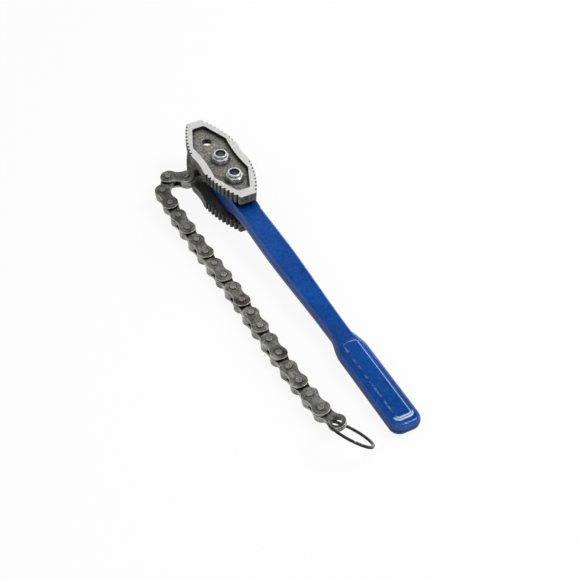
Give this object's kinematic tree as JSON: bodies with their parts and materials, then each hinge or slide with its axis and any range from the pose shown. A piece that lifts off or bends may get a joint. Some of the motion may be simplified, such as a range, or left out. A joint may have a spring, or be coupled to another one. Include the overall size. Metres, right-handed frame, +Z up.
{
  "type": "chain wrench",
  "caption": "Chain pipe wrench: toothed double-ended jaw plates bolted to a forked blue forged handle, with a flat plate chain and a split ring at its end.",
  "frame": {"origin": "bottom centre of the part's bounding box, on the table that it lies on", "axes": "+X from the jaws toward the grip's end, +Z up from the table, -Y the side on which the chain lies"},
  "size_m": [0.3622, 0.0776, 0.0456],
  "materials": {
    "jaw_steel": "cast web with bright machined rim and dark toothed sides",
    "blue_enamel": "glossy blue enamel on a forging",
    "zinc_plate": "bright zinc plating",
    "insert_nylon": "dark nylon insert",
    "chain_plate": "oiled grey steel plate",
    "chain_pin": "riveted pin ends, worn bright",
    "ring_steel": "dark spring steel with bright edges"
  },
  "bodies": {
    "wrench": {"jaw_upper": "jaw_steel", "jaw_lower": "jaw_steel", "handle": "blue_enamel", "centre_bolt": "zinc_plate", "rear_bolt": "zinc_plate", "centre_nut": "zinc_plate", "rear_nut": "zinc_plate", "nut_inserts": "insert_nylon"},
    "anchor": {"anchor_plates": "chain_plate", "anchor_spacer": "chain_plate", "anchor_pin": "chain_pin"},
    "inner_00": {"inner_00": "chain_plate"},
    "link_01": {"link_01_plates": "chain_plate", "link_01_pins": "chain_pin"},
    "inner_01": {"inner_01": "chain_plate"},
    "link_02": {"link_02_plates": "chain_plate", "link_02_pins": "chain_pin"},
    "inner_02": {"inner_02": "chain_plate"},
    "link_03": {"link_03_plates": "chain_plate", "link_03_pins": "chain_pin"},
    "inner_03": {"inner_03": "chain_plate"},
    "link_04": {"link_04_plates": "chain_plate", "link_04_pins": "chain_pin"},
    "inner_04": {"inner_04": "chain_plate"},
    "link_05": {"link_05_plates": "chain_plate", "link_05_pins": "chain_pin"},
    "inner_05": {"inner_05": "chain_plate"},
    "link_06": {"link_06_plates": "chain_plate", "link_06_pins": "chain_pin"},
    "inner_06": {"inner_06": "chain_plate"},
    "link_07": {"link_07_plates": "chain_plate", "link_07_pins": "chain_pin"},
    "inner_07": {"inner_07": "chain_plate"},
    "link_08": {"link_08_plates": "chain_plate", "link_08_pins": "chain_pin"},
    "inner_08": {"inner_08": "chain_plate"},
    "link_09": {"link_09_plates": "chain_plate", "link_09_pins": "chain_pin"},
    "inner_09": {"inner_09": "chain_plate"},
    "link_10": {"link_10_plates": "chain_plate", "link_10_pins": "chain_pin"},
    "inner_10": {"inner_10": "chain_plate"},
    "ring": {"split_ring": "ring_steel"}
  },
  "joints": [
    {"name": "anchor_swing", "type": "hinge", "parent": "wrench", "child": "anchor", "pos_m": [-0.12835, 0.01828, 0.02043], "axis": [-0.0538, 0, -0.9985], "range_deg": [-2.5, 20]},
    {"name": "pin_00_fold", "type": "hinge", "parent": "anchor", "child": "inner_00", "pos_m": [-0.14102, 0.00873, 0.01989], "axis": [0.0313, -0.0975, 0.9947], "range_deg": [-30, 2]},
    {"name": "pin_01_fold", "type": "hinge", "parent": "inner_00", "child": "link_01", "pos_m": [-0.14061, -0.00699, 0.0177], "axis": [-0.0447, 0.1752, -0.9835], "range_deg": [-2, 30]},
    {"name": "pin_02_fold", "type": "hinge", "parent": "link_01", "child": "inner_01", "pos_m": [-0.14977, -0.01982, 0.01583], "axis": [0.0447, -0.1752, 0.9835], "range_deg": [-35, 2]},
    {"name": "pin_03_fold", "type": "hinge", "parent": "inner_01", "child": "link_02", "pos_m": [-0.13822, -0.0304, 0.01324], "axis": [-0.1037, 0.1264, -0.9865], "range_deg": [-2, 35]},
    {"name": "pin_04_fold", "type": "hinge", "parent": "link_02", "child": "inner_02", "pos_m": [-0.12244, -0.03081, 0.01153], "axis": [0.1037, -0.1264, 0.9865], "range_deg": [-35, 2.5]},
    {"name": "pin_05_fold", "type": "hinge", "parent": "inner_02", "child": "link_03", "pos_m": [-0.10667, -0.03095, 0.00969], "axis": [-0.1096, 0.0538, -0.9925], "range_deg": [-2.5, 35]},
    {"name": "pin_06_fold", "type": "hinge", "parent": "link_03", "child": "inner_03", "pos_m": [-0.0909, -0.03026, 0.00799], "axis": [0.1096, -0.0538, 0.9925], "range_deg": [-35, 2.5]},
    {"name": "pin_07_fold", "type": "hinge", "parent": "inner_03", "child": "link_04", "pos_m": [-0.07509, -0.02985, 0.00662], "axis": [-0.0558, 0.0017, -0.9984], "range_deg": [-3, 35]},
    {"name": "pin_08_fold", "type": "hinge", "parent": "link_04", "child": "inner_04", "pos_m": [-0.05925, -0.0293, 0.00573], "axis": [0.0558, -0.0017, 0.9984], "range_deg": [-35, 3]},
    {"name": "pin_09_fold", "type": "hinge", "parent": "inner_04", "child": "link_05", "pos_m": [-0.04339, -0.02902, 0.0054], "axis": [0, 0, -1], "range_deg": [-3.5, 35]},
    {"name": "pin_10_fold", "type": "hinge", "parent": "link_05", "child": "inner_05", "pos_m": [-0.02752, -0.02847, 0.0054], "axis": [0, 0, 1], "range_deg": [-35, 4]},
    {"name": "pin_11_fold", "type": "hinge", "parent": "inner_05", "child": "link_06", "pos_m": [-0.01165, -0.02833, 0.0054], "axis": [0, 0, -1], "range_deg": [-4, 35]},
    {"name": "pin_12_fold", "type": "hinge", "parent": "link_06", "child": "inner_06", "pos_m": [0.00423, -0.02847, 0.0054], "axis": [0, 0, 1], "range_deg": [-35, 4.5]},
    {"name": "pin_13_fold", "type": "hinge", "parent": "inner_06", "child": "link_07", "pos_m": [0.0201, -0.02888, 0.0054], "axis": [0, 0, -1], "range_deg": [-5, 35]},
    {"name": "pin_14_fold", "type": "hinge", "parent": "link_07", "child": "inner_07", "pos_m": [0.03597, -0.02916, 0.0054], "axis": [0, 0, 1], "range_deg": [-35, 6]},
    {"name": "pin_15_fold", "type": "hinge", "parent": "inner_07", "child": "link_08", "pos_m": [0.05184, -0.02957, 0.00548], "axis": [0.0052, 0.0279, -0.9996], "range_deg": [-7, 35]},
    {"name": "pin_16_fold", "type": "hinge", "parent": "link_08", "child": "inner_08", "pos_m": [0.06771, -0.02985, 0.00556], "axis": [-0.0052, -0.0279, 0.9996], "range_deg": [-35, 8]},
    {"name": "pin_17_fold", "type": "hinge", "parent": "inner_08", "child": "link_09", "pos_m": [0.08359, -0.02999, 0.00572], "axis": [0.0209, 0.0924, -0.9955], "range_deg": [-9.5, 35]},
    {"name": "pin_18_fold", "type": "hinge", "parent": "link_09", "child": "inner_09", "pos_m": [0.09946, -0.02999, 0.00605], "axis": [-0.0209, -0.0924, 0.9955], "range_deg": [-35, 12]},
    {"name": "pin_19_fold", "type": "hinge", "parent": "inner_09", "child": "link_10", "pos_m": [0.11532, -0.02957, 0.00666], "axis": [0.0517, 0.1562, -0.9864], "range_deg": [-16.5, 35]},
    {"name": "pin_20_fold", "type": "hinge", "parent": "link_10", "child": "inner_10", "pos_m": [0.13115, -0.02902, 0.00757], "axis": [-0.0517, -0.1562, 0.9864], "range_deg": [-35, 24]},
    {"name": "ring_swing", "type": "hinge", "parent": "inner_10", "child": "ring", "pos_m": [0.14604, -0.02559, 0.00934], "axis": [0.9706, 0.0849, 0.2254], "range_deg": [-75, 5]}
  ]
}
